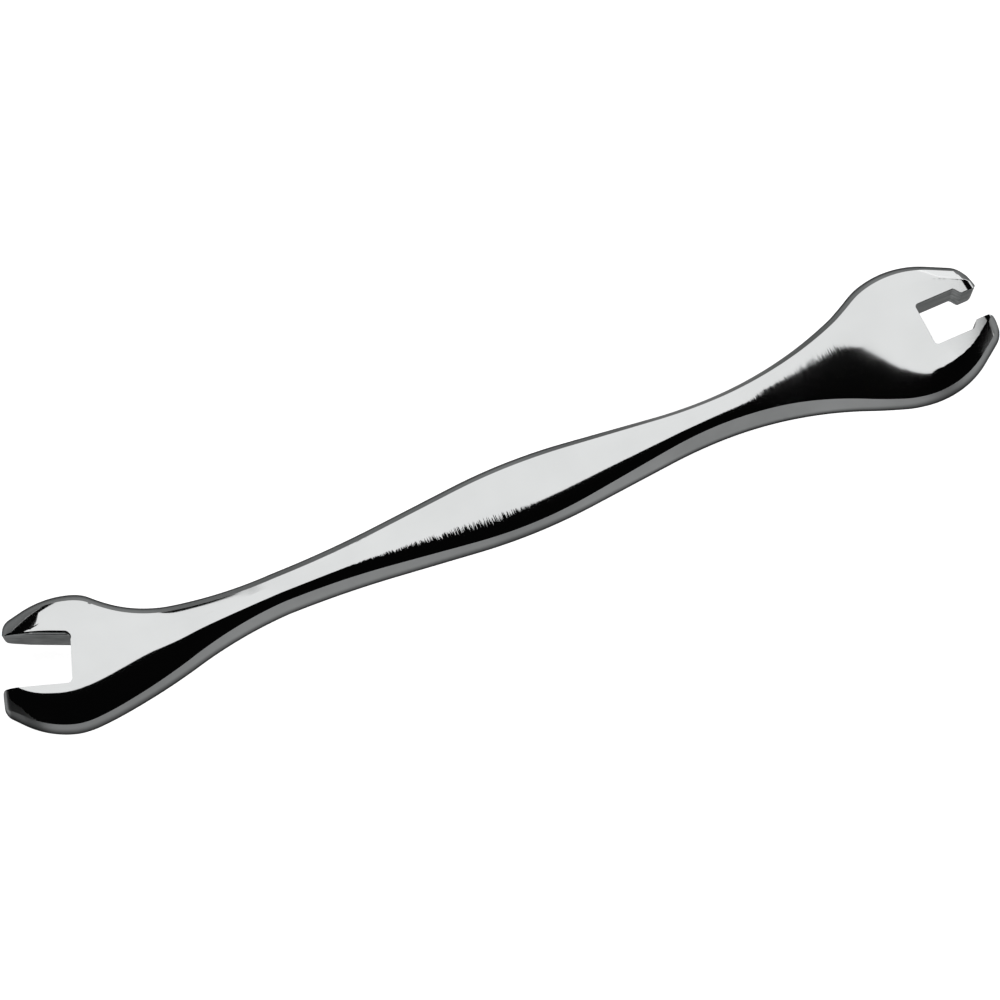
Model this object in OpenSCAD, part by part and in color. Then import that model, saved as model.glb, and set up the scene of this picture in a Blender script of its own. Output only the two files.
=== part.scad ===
// Spoke wrench: one forging with an open jaw at one end, a captive jaw at the other and a grip between.
// Millimetres, +Z up. X runs along the grip towards the captive jaw. The lowest line lies on Z = 0.
// Places along the wrench are measured on its centre line, from the middle of the grip.

/* [Whole] */
// Length on the centre line from the prong ends to the hook ends
wrench_l = 130.2; // [124:0.2:138]
// Distance from the middle of that length to the middle of the grip, towards the hooks
grip_shift = 1.1; // [0:0.1:2]

/* [Grip] */
// Width of the grip at its middle
grip_w = 9.8; // [8.6:0.1:12]
// Thickness of the grip at its middle
grip_t = 4; // [3.6:0.1:4.6]
// Length of the grip between the two necks
grip_l = 36; // [28:1:42]
// Outline radius at the middle of the grip
grip_r = 72; // [55:1:76]
// Width of the level strip along the grip's top
grip_level_w = 1.6; // [1:0.1:2.2]
// Width of the level strip along the necks' tops
neck_level_w = 1.2; // [0.8:0.1:1.8]

/* [Open neck] */
// Width of the neck behind the open jaw
open_neck_w = 5.6; // [5:0.1:7]
// Narrowest place of this neck
open_neck_at = 31.5; // [28:0.5:33]
// Hollow radius of the outline on the grip side
open_neck_grip_r = 140; // [80:1:150]
// Hollow radius of the outline on the jaw side
open_neck_jaw_r = 55; // [45:1:58]
// Angle that the neck dips before the head turns up
open_neck_dip = 2.2; // [0:0.1:3]
// Thickness of this neck
open_neck_t = 4.6; // [4.2:0.1:5.4]
// Place where this neck is thickest
open_thick_at = 27; // [24:0.5:30]

/* [Open head] */
// Width of the open head
open_head_w = 17.4; // [16:0.1:20]
// Thickness of the open head
open_head_t = 5.2; // [4.4:0.1:5.8]
// Distance from the prong ends back to the head's widest place
open_crest_back = 8.2; // [7.4:0.1:9]
// Distance from the prong ends back to the bend into the head
open_bend_back = 15.7; // [14.7:0.1:18]
// Radius of that bend
open_bend_r = 34; // [12:1:36]
// Angle of the open head to the grip
open_turn = 17.5; // [10:0.5:20]
// Outline radius of the head's shoulder
open_shoulder_r = 7; // [4:0.5:8]
// Outline radius round the prongs
open_round_r = 11.6; // [10:0.1:14]
// Width of the level face of the open head
open_level_w = 4.8; // [3:0.1:5]

/* [Open jaw] */
// Jaw width at its root, over the nipple's flats
jaw_w = 6; // [5.2:0.1:6.8]
// Depth of the jaw from the prong ends
jaw_depth = 8.5; // [7.5:0.1:9.5]
// Angle that the back prong's flat opens towards the mouth
jaw_flare = 6; // [0:0.5:8]
// Radius of the jaw's root corners
jaw_root_r = 0.6; // [0.3:0.05:1]
// Radius of the prongs' inner corners at the mouth
jaw_mouth_r = 0.5; // [0.3:0.05:0.7]
// Length over which a prong's faces roll down to its end
prong_nose_l = 2.2; // [1.4:0.1:2.6]
// Plan radius of a prong's outer corner
prong_corner_r = 0.8; // [0.4:0.1:1]

/* [Captive neck] */
// Width of the neck behind the captive jaw
captive_neck_w = 5.7; // [5.2:0.1:7]
// Narrowest place of this neck
captive_neck_at = 26; // [24:0.5:28]
// Hollow radius of the outline on the grip side
captive_neck_grip_r = 62; // [50:1:75]
// Hollow radius of the outline on the jaw side
captive_neck_jaw_r = 51; // [42:1:52]
// Thickness of this neck
captive_neck_t = 6.2; // [5.6:0.1:6.8]
// Place where this neck is thickest
captive_thick_at = 28.4; // [26:0.2:31]
// Length over which the neck slopes down to the thinner head
captive_ramp_l = 22; // [18:0.5:24]

/* [Captive head] */
// Width of the captive head
captive_head_w = 18.4; // [17:0.1:21]
// Thickness of the captive head
captive_head_t = 4; // [3.6:0.1:4.8]
// Distance from the hook ends back to the head's widest place
captive_crest_back = 10.3; // [9.6:0.1:11]
// Distance from the hook ends back to the bend into the head
captive_bend_back = 16.2; // [14:0.1:18]
// Radius of that bend
captive_bend_r = 60; // [30:1:90]
// Angle of the captive head to the grip
captive_turn = 5; // [0:0.5:8]
// Outline radius of the head's shoulder
captive_shoulder_r = 13; // [9:0.5:13.5]
// Outline radius round the hooks
captive_round_r = 12.3; // [12:0.1:15]
// Width of the level face of the captive head
captive_level_w = 11.6; // [9:0.1:13]

/* [Captive jaw] */
// Angle of the pocket to the grip
pocket_turn = 1.5; // [0:0.5:8]
// Pocket width, over the nipple's flats
pocket_w = 5.8; // [5:0.1:6.6]
// Pocket depth from its back wall to the lips
pocket_depth = 5.5; // [5:0.1:5.8]
// Distance from the hook ends back to the pocket's back wall
pocket_root_back = 8.6; // [8.2:0.1:9]
// Width of the mouth between the lips, over the spoke
mouth_w = 3.9; // [3:0.1:4.6]
// Length of the slope on a lip's inner side
lip_slope_l = 0.6; // [0.3:0.1:0.8]
// Radius of a lip's outer corner at the mouth
lip_nose_r = 1; // [0.6:0.1:1.2]
// Radius of the pocket's root corners
pocket_root_r = 0.4; // [0.2:0.05:0.8]
// Length over which a hook's faces roll down to its end
hook_nose_l = 1.4; // [0.8:0.1:1.8]
// Plan radius of a hook's outer corner
hook_corner_r = 1.4; // [0.8:0.1:1.8]

/* [Edges] */
// Height of the drafted side band at both heads, above the parting plane
head_band_h = 1; // [0.7:0.05:1.2]
// Setback of the drafted side band at both heads
head_setback = 0.95; // [0.6:0.05:1.1]
// Height of the band at the middle of the grip
grip_band_h = 1.1; // [0.8:0.05:1.4]
// Setback of the band at the middle of the grip
grip_setback = 0.95; // [0.6:0.05:1.2]
// Height of the band at the open neck
open_neck_band_h = 1.8; // [1.4:0.05:2]
// Setback of the band at the open neck
open_neck_setback = 1.15; // [0.8:0.05:1.3]
// Height of the band at the captive neck
captive_neck_band_h = 2.6; // [2.2:0.05:2.75]
// Setback of the band at the captive neck
captive_neck_setback = 1.2; // [0.8:0.05:1.35]
// Height of the flat land at the parting line
land_h = 0.24; // [0.1:0.02:0.4]
// Share of the thickness left at the prong and hook ends
nose_share = 0.4; // [0.3:0.05:0.6]

/* [Hidden] */
steel = "#c4c8cc";
$fn = 64;

// Exponent of the crown from the level face down to the crease
crown_power = 1.5;
// Points on each flank of the crown, rings per nose and pitch of the other rings
crown_steps = 5;
nose_steps = 6;
ring_pitch = 1.4;
// Slope at which the outline round the hooks and prongs runs on straight
round_limit = 31;
// Share of the free room that the two arcs of a waist may fill
arc_room = 0.99;
// Length that the jaw cutters reach past the faces and the ends
reach = 12;
// Angle of the pocket to the captive head
pocket_skew = pocket_turn - captive_turn;

// Places counted from the middle of the grip
open_end_at = wrench_l / 2 + grip_shift;
open_head_at = open_end_at - open_crest_back;
open_bend_at = open_end_at - open_bend_back;
captive_end_at = wrench_l / 2 - grip_shift;
captive_head_at = captive_end_at - captive_crest_back;
captive_bend_at = captive_end_at - captive_bend_back;
pocket_back_at = captive_end_at - pocket_root_back;

// Places of the faces where neighbouring pieces meet, the open end counted negative
s_open_end = -open_end_at;
s_jaw_root = s_open_end + jaw_depth;
s_prong = s_jaw_root - jaw_root_r;
s_open_neck = -open_bend_at;
s_grip_open = -grip_l / 2;
s_grip_captive = grip_l / 2;
s_captive_neck = captive_bend_at;
s_hook = pocket_back_at + pocket_root_r + pocket_w / 2 * abs(sin(pocket_skew));
s_captive_end = captive_end_at;

// Foot of the captive neck's ramp
captive_thin_at = captive_thick_at + captive_ramp_l;

function ease(t) =
    let (u = min(1, max(0, t)))
    u * u * (3 - 2 * u);

function blend(s, s0, v0, s1, v1) = v0 + (v1 - v0) * ease((s - s0) / (s1 - s0));

// Rise at distance d from a waist to a crest: hollow arc, tangent line, round arc.
function arc_rise(d, dx, dy, hollow_r, crest_r) =
    let (
        room = (dx * dx + dy * dy) / (2 * dy),
        k = min(1, arc_room * room / (hollow_r + crest_r)),
        ra = k * hollow_r,
        rb = k * crest_r,
        r = ra + rb,
        line = sqrt(max(0, dx * dx + (dy - r) * (dy - r) - r * r)),
        slope = atan2(r, line) + atan2(dy - r, dx),
        d1 = ra * sin(slope),
        d2 = d1 + line * cos(slope)
    )
    d <= d1 ? ra - sqrt(ra * ra - d * d)
    : d <= d2 ? ra * (1 - cos(slope)) + (d - d1) * tan(slope)
    : dy - rb + sqrt(max(0, rb * rb - (dx - d) * (dx - d)));

// Fall at distance d from a crest along a round outline that runs on straight past round_limit.
function round_fall(d, r) =
    let (d1 = r * sin(round_limit))
    d <= d1 ? r - sqrt(r * r - d * d)
    : r * (1 - cos(round_limit)) + (d - d1) * tan(round_limit);

// Loss of half width where an end's outer corner is rounded in plan.
function corner_loss(left, r) =
    let (t = min(1, max(0, 1 - left / r)))
    r * (1 - sqrt(1 - t * t));

function waist(s, at_waist, w_waist, at_crest, w_crest, hollow_r, crest_r) =
    w_waist / 2 + arc_rise(
        abs(s - at_waist), abs(at_crest - at_waist), (w_crest - w_waist) / 2, hollow_r, crest_r);

function half_width(s) =
    s < -open_head_at
        ? open_head_w / 2 - round_fall(-open_head_at - s, open_round_r)
            - corner_loss(s - s_open_end, prong_corner_r)
    : s < -open_neck_at
        ? waist(s, -open_neck_at, open_neck_w, -open_head_at, open_head_w, open_neck_jaw_r, open_shoulder_r)
    : s < 0
        ? waist(s, -open_neck_at, open_neck_w, 0, grip_w, open_neck_grip_r, grip_r)
    : s < captive_neck_at
        ? waist(s, captive_neck_at, captive_neck_w, 0, grip_w, captive_neck_grip_r, grip_r)
    : s < captive_head_at
        ? waist(s, captive_neck_at, captive_neck_w, captive_head_at, captive_head_w,
            captive_neck_jaw_r, captive_shoulder_r)
    : captive_head_w / 2 - round_fall(s - captive_head_at, captive_round_r)
        - corner_loss(s_captive_end - s, hook_corner_r);

// Share of the full height where a prong or hook rolls down to its end.
function nose(left, nose_l) =
    let (t = min(1, max(0, 1 - left / nose_l)))
    nose_share + (1 - nose_share) * sqrt(1 - t * t);

function height_share(s) = nose(s - s_open_end, prong_nose_l) * nose(s_captive_end - s, hook_nose_l);

// Value that eases from the middle of the grip to a neck's thickest place and on to its head.
function staged(d, thick_at, head_at, at_grip, at_neck, at_head) =
    d < thick_at ? blend(d, 0, at_grip, thick_at, at_neck) : blend(d, thick_at, at_neck, head_at, at_head);

function half_height(s) =
    s < 0
        ? staged(-s, open_thick_at, open_bend_at, grip_t, open_neck_t, open_head_t) / 2
        : staged(s, captive_thick_at, captive_thin_at, grip_t, captive_neck_t, captive_head_t) / 2;

function crease_height(s) =
    s < 0
        ? staged(-s, open_thick_at, open_head_at, grip_band_h, open_neck_band_h, head_band_h)
        : staged(s, captive_thick_at, captive_head_at, grip_band_h, captive_neck_band_h, head_band_h);

function crease_setback(s) =
    s < 0
        ? staged(-s, open_thick_at, open_head_at, grip_setback, open_neck_setback, head_setback)
        : staged(s, captive_thick_at, captive_head_at, grip_setback, captive_neck_setback, head_setback);

function half_level(s) =
    s < -open_neck_at ? blend(s, -open_head_at, open_level_w / 2, -open_neck_at, neck_level_w / 2)
    : s < 0 ? blend(s, -open_neck_at, neck_level_w / 2, 0, grip_level_w / 2)
    : s < captive_neck_at ? blend(s, 0, grip_level_w / 2, captive_neck_at, neck_level_w / 2)
    : blend(s, captive_neck_at, neck_level_w / 2, captive_head_at, captive_level_w / 2);

// Centre line as runs of [length, turn], from the middle of the grip outwards.
function runs(straight, dip_at, dip, bend_at, bend_r, turn) =
    let (
        swing = dip + turn,
        cut = bend_r * tan(swing / 2),
        arc = bend_r * swing * PI / 180
    )
    [[dip_at, 0], [0, -dip], [bend_at - dip_at - cut, 0], [arc, swing], [straight, 0]];

open_runs = runs(open_end_at, open_neck_at, open_neck_dip, open_bend_at, open_bend_r, open_turn);
captive_runs = runs(captive_end_at, captive_neck_at, 0, captive_bend_at, captive_bend_r, captive_turn);

// Point and heading after a distance along the runs, heading along +X at the start.
function along(list, left, p = [0, 0], a = 0, i = 0) =
    let (
        run = list[i],
        step = min(left, run[0]),
        turn = run[0] == 0 ? run[1] : run[1] * step / run[0],
        chord = turn == 0 ? step : step * sin(turn / 2) / (turn / 2 * PI / 180),
        q = p + chord * [cos(a + turn / 2), sin(a + turn / 2)]
    )
    left <= run[0] && run[0] > 0 || i == len(list) - 1
        ? [q, a + turn]
        : along(list, left - step, q, a + turn, i + 1);

// Centre line frame at s: [point, unit vector towards the captive end, unit vector towards the back].
function centre(s) =
    let (
        f = s < 0 ? along(open_runs, -s) : along(captive_runs, s),
        p = s < 0 ? [-f[0][0], f[0][1]] : f[0],
        a = s < 0 ? -f[1] : f[1]
    )
    [p, [cos(a), sin(a)], [-sin(a), cos(a)]];

// Half section as [distance from the centre line, height], from the land up to the level face.
function flank(s) =
    let (
        w = half_width(s),
        share = height_share(s),
        top = half_height(s) * share,
        crease = crease_height(s) * share,
        setback = crease_setback(s) * share,
        inner = w - setback,
        level = min(half_level(s), max(inner / 2, inner - setback))
    )
    concat(
        [[w, land_h / 2], [inner, crease]],
        [for (i = [1:crown_steps])
            let (t = 1 - i / crown_steps)
            [level + (inner - level) * t, top - (top - crease) * pow(t, crown_power)]]
    );

function reversed(list) = [for (i = [len(list) - 1:-1:0]) list[i]];

function section(s) =
    let (
        side = flank(s),
        upper = concat(side, [for (q = reversed(side)) [-q[0], q[1]]])
    )
    concat(upper, [for (q = reversed(upper)) [q[0], -q[1]]]);

function ring(s) =
    let (c = centre(s))
    [for (q = section(s)) concat(c[0] + q[0] * c[2], [q[1]])];

function stations(s0, s1) =
    let (n = max(2, ceil((s1 - s0) / ring_pitch)))
    [for (i = [0:n]) s0 + (s1 - s0) * i / n];

// Stations of an end: even ones up to the nose, then closer ones round it.
function end_stations(s0, s_end, nose_l) =
    let (
        way = sign(s_end - s0),
        s_nose = s_end - way * nose_l,
        n = max(2, ceil(abs(s_nose - s0) / ring_pitch)),
        flat = [for (i = [0:n - 1]) s0 + (s_nose - s0) * i / n],
        tip = [for (i = [0:nose_steps]) s_nose + way * nose_l * sin(90 * i / nose_steps)]
    )
    way > 0 ? concat(flat, tip) : reversed(concat(flat, tip));

prong_stations = end_stations(s_prong, s_open_end, prong_nose_l);
hook_stations = end_stations(s_hook, s_captive_end, hook_nose_l);

// Corners of the whole plan, for the origin under the middle of the wrench.
edge_points = [
    for (s = concat(prong_stations, stations(s_prong, 0), stations(0, s_hook), hook_stations))
    for (side = [-1, 1])
    let (c = centre(s))
    c[0] + side * half_width(s) * c[2]
];
edge_x = [for (p = edge_points) p[0]];
edge_y = [for (p = edge_points) p[1]];
rest_h = max(grip_t, open_neck_t, open_head_t, captive_neck_t, captive_head_t) / 2;
origin = [(min(edge_x) + max(edge_x)) / 2, (min(edge_y) + max(edge_y)) / 2, -rest_h];

// Solid through the rings at the given stations.
module loft(list) {
    rings = [for (s = list) ring(s)];
    m = len(rings[0]);
    last = len(rings) - 1;
    walls = [
        for (i = [0:last - 1], j = [0:m - 1])
        let (
            a = i * m + j,
            b = i * m + (j + 1) % m,
            c = a + m,
            d = b + m
        )
        each [[a, b, c], [b, d, c]]
    ];
    first_cap = [for (j = [m - 1:-1:0]) j];
    last_cap = [for (j = [0:m - 1]) last * m + j];
    polyhedron(
        points = [for (r = rings) each r],
        faces = concat([first_cap], walls, [last_cap]),
        convexity = 6
    );
}

module placed() translate(-origin) children();

// Children drawn in a jaw's own plan: X outwards from the jaw's root on the centre line, Y to the back.
module jaw_frame(s, outward, skew) {
    c = centre(s);
    translate([c[0][0], c[0][1], 0])
        rotate(atan2(c[1][1], c[1][0]) + (outward > 0 ? skew : 180 - skew))
            mirror([0, outward > 0 ? 0 : 1, 0])
                children();
}

// Plan of a jaw's root: the back wall at X = 0, both corners rounded, and straight walls from there on.
module root_plan(w, r) {
    translate([0, r - w / 2]) square([r, w - 2 * r]);
    translate([r, -w / 2]) square([reach, w]);
    for (side = [-1, 1])
        translate([r, side * (w / 2 - r)]) circle(r);
}

// Plan of what a rounded inner corner at the mouth loses: a back wall from w / 2 at X = x0, opening by
// flare, meets the end at X = end.
module mouth_round(end, x0, w, flare, r) {
    function wall(x) = w / 2 + (x - x0) * tan(flare);
    middle = [end - r, wall(end - r) + r / cos(flare)];
    touch = middle + r * [sin(flare), -cos(flare)];
    difference() {
        polygon([touch, touch - [0, r], [end + r, wall(end) - r], [end + r, middle[1]], middle]);
        translate(middle) circle(r);
    }
}

// Plan of all that lies inside a back prong: its flat starts half a jaw from the axis and opens by flare.
module prong_inside(flare) {
    function wall(x) = jaw_w / 2 + (x - jaw_root_r) * tan(flare);
    polygon([
        [-reach, -2 * reach],
        [jaw_depth + reach, -2 * reach],
        [jaw_depth + reach, wall(jaw_depth + reach)],
        [-reach, wall(-reach)]
    ]);
    mouth_round(jaw_depth, jaw_root_r, jaw_w, flare, jaw_mouth_r);
}

// Plan of all that lies inside a hook that is drawn as a back one: pocket wall, sloped lip and mouth.
module hook_inside(side) {
    lip_y = mouth_w / 2 + lip_nose_r;
    end = (s_captive_end - pocket_back_at + side * lip_y * sin(pocket_skew)) / cos(pocket_skew);
    polygon([
        [-reach, -2 * reach],
        [end + reach, -2 * reach],
        [end + reach, mouth_w / 2],
        [pocket_depth + lip_slope_l, mouth_w / 2],
        [pocket_depth, pocket_w / 2],
        [-reach, pocket_w / 2]
    ]);
    mouth_round(end, 0, mouth_w, 0, lip_nose_r);
}

// Upright cutters over plans that are drawn in a jaw's frame, mirrored for the front side.
module jaw_cut(s, outward, skew, side) {
    jaw_frame(s, outward, skew)
        mirror([0, side > 0 ? 0 : 1, 0])
            linear_extrude(height = 2 * reach, center = true) children();
}

module open_cut(side = 1) jaw_cut(s_jaw_root, -1, 0, side) children();

module pocket_cut(side = 1) jaw_cut(pocket_back_at, 1, pocket_skew, side) children();

module prong(side) {
    color(steel) placed() difference() {
        loft(prong_stations);
        open_cut(side) prong_inside(side > 0 ? jaw_flare : 0);
    }
}

module hook(side) {
    color(steel) placed() difference() {
        loft(hook_stations);
        pocket_cut(side) hook_inside(side);
    }
}

module open_back_prong() prong(1);

module open_front_prong() prong(-1);

module open_throat() {
    color(steel) placed() difference() {
        loft(stations(s_prong, s_open_neck));
        open_cut() root_plan(jaw_w, jaw_root_r);
    }
}

module open_neck() {
    color(steel) placed() loft(stations(s_open_neck, s_grip_open));
}

module grip() {
    color(steel) placed() loft(stations(s_grip_open, s_grip_captive));
}

module captive_neck() {
    color(steel) placed() loft(stations(s_grip_captive, s_captive_neck));
}

module captive_throat() {
    color(steel) placed() difference() {
        loft(stations(s_captive_neck, s_hook));
        pocket_cut() root_plan(pocket_w, pocket_root_r);
    }
}

module captive_back_hook() hook(1);

module captive_front_hook() hook(-1);

open_back_prong();
open_front_prong();
open_throat();
open_neck();
grip();
captive_neck();
captive_throat();
captive_back_hook();
captive_front_hook();
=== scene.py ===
"""Spoke wrench on a pale floor: one polished forging with an open jaw, a grip and a captive jaw."""

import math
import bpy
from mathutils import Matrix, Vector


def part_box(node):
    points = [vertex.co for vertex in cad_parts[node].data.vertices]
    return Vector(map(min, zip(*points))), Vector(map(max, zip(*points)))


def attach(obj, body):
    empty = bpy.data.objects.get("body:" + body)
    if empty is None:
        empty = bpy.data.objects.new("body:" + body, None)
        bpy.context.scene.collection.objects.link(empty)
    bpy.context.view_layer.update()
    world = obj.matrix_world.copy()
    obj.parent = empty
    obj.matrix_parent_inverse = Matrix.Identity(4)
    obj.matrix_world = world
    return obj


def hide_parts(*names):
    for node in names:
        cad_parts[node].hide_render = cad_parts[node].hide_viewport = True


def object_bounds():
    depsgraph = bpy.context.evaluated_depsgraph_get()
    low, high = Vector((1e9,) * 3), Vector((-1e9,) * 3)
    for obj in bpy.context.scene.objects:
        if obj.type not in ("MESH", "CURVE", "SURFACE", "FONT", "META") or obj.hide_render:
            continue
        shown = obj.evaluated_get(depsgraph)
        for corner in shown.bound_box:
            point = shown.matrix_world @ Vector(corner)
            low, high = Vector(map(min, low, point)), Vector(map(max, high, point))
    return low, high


bl_info = {
    "name": "Spoke Wrench",
    "version": (1, 0, 0),
    "blender": (4, 5, 0),
    "location": "3D View > Sidebar > Spoke Wrench",
    "description": "Builds a polished spoke wrench and the studio it is shown in",
    "category": "Add Mesh",
}

import bmesh
import bpy
from bpy.props import FloatProperty, FloatVectorProperty, PointerProperty
from mathutils import Matrix, Vector

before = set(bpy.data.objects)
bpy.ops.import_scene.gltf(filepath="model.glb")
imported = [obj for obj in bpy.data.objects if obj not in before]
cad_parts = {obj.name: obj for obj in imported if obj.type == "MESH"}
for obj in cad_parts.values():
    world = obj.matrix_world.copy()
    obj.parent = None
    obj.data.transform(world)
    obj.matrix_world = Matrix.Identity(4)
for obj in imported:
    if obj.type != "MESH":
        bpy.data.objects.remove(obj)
CAD_BOX = [list(corner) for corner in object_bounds()]
GRIP_LOW, GRIP_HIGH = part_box("grip")

PIECE_NAME = "wrench_forging"
MERGE = 1e-7
RAMP_ROUND = 0.25
SOFT_POWER = 12
ARC_ROOM = 0.99
WALL_TRIES = 4
FLOOR_HALF = 3.0
FLOOR_GLOW = 0.88
SENSOR_WIDTH = 36.0


def length(name, text, value):
    """Length property in metres."""
    return FloatProperty(
        name=name, description=text, default=value, precision=5, unit="LENGTH", subtype="DISTANCE"
    )


def angle(name, text, degrees):
    """Angle property with its default in degrees."""
    return FloatProperty(
        name=name, description=text, default=math.radians(degrees), unit="ROTATION", subtype="ANGLE"
    )


def number(name, text, value):
    """Plain number property."""
    return FloatProperty(name=name, description=text, default=value, precision=4)


def tint(name, text, value):
    """Linear colour property."""
    return FloatVectorProperty(
        name=name, description=text, default=value, size=3, min=0.0, soft_max=1.0, subtype="COLOR"
    )


class BarSizes(bpy.types.PropertyGroup):
    """Sizes of the grip and of what both ends share."""

    grip_width: length("Grip width", "Width of the grip at its middle", 0.0098)
    grip_thick: length("Grip thickness", "Thickness of the grip at its middle", 0.0040)
    grip_radius: length("Grip radius", "Outline radius at the middle of the grip", 0.072)
    grip_level: length("Grip level", "Width of the level strip along the grip", 0.0004)
    grip_share: number("Grip share", "Share of the face's width added to the level strip", 0.0)
    grip_power: number("Grip power", "Exponent of the crown's fall on the grip", 1.75)
    grip_bow: number("Grip bow", "Share of the crown's fall that bows over the whole face", 0.0)
    grip_edge: angle("Grip edge", "Steepest slope across the grip's polished face", 29)
    grip_band: length("Grip band", "Height of the drafted band at the grip", 0.0011)
    grip_setback: length("Grip setback", "Setback of the drafted band at the grip", 0.00095)
    skin: length("Skin", "Distance that the skin stays inside the outline", 0.00002)
    land: length("Land", "Height of the flat land at the parting line", 0.00024)
    nose_share: number("Nose share", "Share of the thickness left at the ends", 0.4)
    round_limit: angle("Round limit", "Slope past which the round outline runs straight", 31)
    ring_pitch: length("Ring pitch", "Distance between rings along the bar", 0.0004)
    jaw_pitch: length("Jaw pitch", "Distance between rings along the jaws", 0.00016)


class OpenEnd(bpy.types.PropertyGroup):
    """Sizes of the end with the open jaw."""

    end_at: length("End", "Place of the prong ends", 0.0662)
    neck_at: length("Neck place", "Narrowest place of the neck", 0.0315)
    neck_width: length("Neck width", "Width of the neck", 0.0056)
    neck_grip_radius: length("Grip side", "Hollow radius on the grip side of the neck", 0.140)
    neck_head_radius: length("Head side", "Hollow radius on the head side of the neck", 0.055)
    dip: angle("Dip", "Angle that the neck dips before the head turns up", 2.2)
    head_at: length("Head place", "Widest place of the head", 0.058)
    head_width: length("Head width", "Width of the head", 0.0174)
    head_thick: length("Head thickness", "Thickness of the head", 0.0052)
    bend_at: length("Bend place", "Place of the bend into the head", 0.0505)
    bend_radius: length("Bend radius", "Radius of the bend", 0.034)
    turn: angle("Turn", "Angle of the head to the grip", 17.5)
    hump_at: length("Neck's thickest place", "Place where the neck is thickest", 0.027)
    hump_thick: length("Neck thickness", "Thickness of the neck there", 0.0046)
    hump_level: length("Neck level", "Width of the level strip there", 0.0012)
    hump_share: number("Neck share", "Share of the face's width added to the level strip there", 0.0)
    hump_power: number("Neck power", "Exponent of the crown's fall there", 1.48)
    hump_bow: number("Neck bow", "Share of the fall that bows over the whole face there", 0.0)
    hump_edge: angle("Neck edge", "Steepest slope across the polished face there", 31.5)
    hump_band: length("Neck band", "Height of the drafted band there", 0.0017)
    hump_setback: length("Neck setback", "Setback of the drafted band there", 0.00115)
    ramp_from: length("Ramp start", "Place where the thickness starts to change to the head's", 0.027)
    ramp_to: length("Ramp end", "Place where the head's thickness is reached", 0.0508)
    level_from: length("Level start", "Place where the level face starts to widen", 0.048)
    level_to: length("Level end", "Place where the level face is widest", 0.0596)
    band_from: length("Band start", "Place where the band starts to change to the head's", 0.0305)
    band_to: length("Band end", "Place where the head's band is reached", 0.057)
    shoulder_radius: length("Shoulder", "Outline radius of the shoulder", 0.007)
    round_radius: length("Head round", "Outline radius round the prongs", 0.0116)
    head_level: length("Level face", "Width of the level face", 0.0077)
    head_share: number("Head share", "Share of the face's width added to the level face", 0.0)
    head_power: number("Head power", "Exponent of the crown's fall on the head", 1.5)
    head_bow: number("Head bow", "Share of the fall that bows over the head's whole face", 0.0)
    head_edge: angle("Head edge", "Steepest slope across the head's polished face", 35)
    head_band: length("Head band", "Height of the drafted band at the head", 0.0010)
    head_setback: length("Head setback", "Setback of the drafted band at the head", 0.00095)
    slope_width: length("Slope width", "Least width of the sloping side of the crown", 0.0030)
    root_at: length("Jaw root", "Place of the jaw's back wall", 0.0577)
    root_radius: length("Root radius", "Radius of the jaw's root corners", 0.0006)
    jaw_width: length("Jaw width", "Width of the jaw at its root", 0.006)
    mouth_width: length("Mouth width", "Width between the prongs before the flare", 0.006)
    lip_from: length("Lip start", "Depth where the walls turn to the mouth width", 0.0040)
    lip_to: length("Lip end", "Depth where the mouth width is reached", 0.0050)
    flare: angle("Flare", "Angle that the back wall opens outwards", 6)
    skew: angle("Skew", "Angle of the jaw to the head", 0)
    mouth_radius: length("Mouth radius", "Radius of the inner corners at the mouth", 0.0005)
    back_edge: length("Back edge", "Radius of the round on the back wall's edge", 0.0006)
    front_edge: length("Front edge", "Radius of the round on the front and root walls' edges", 0.00001)
    nose: length("Nose", "Length over which the faces roll down to the end", 0.0022)
    corner: length("Corner", "Plan radius of the outer corners", 0.0008)
    seam_at: length("Seam", "Place where the head's mesh meets the bar's", 0.0525)


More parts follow.
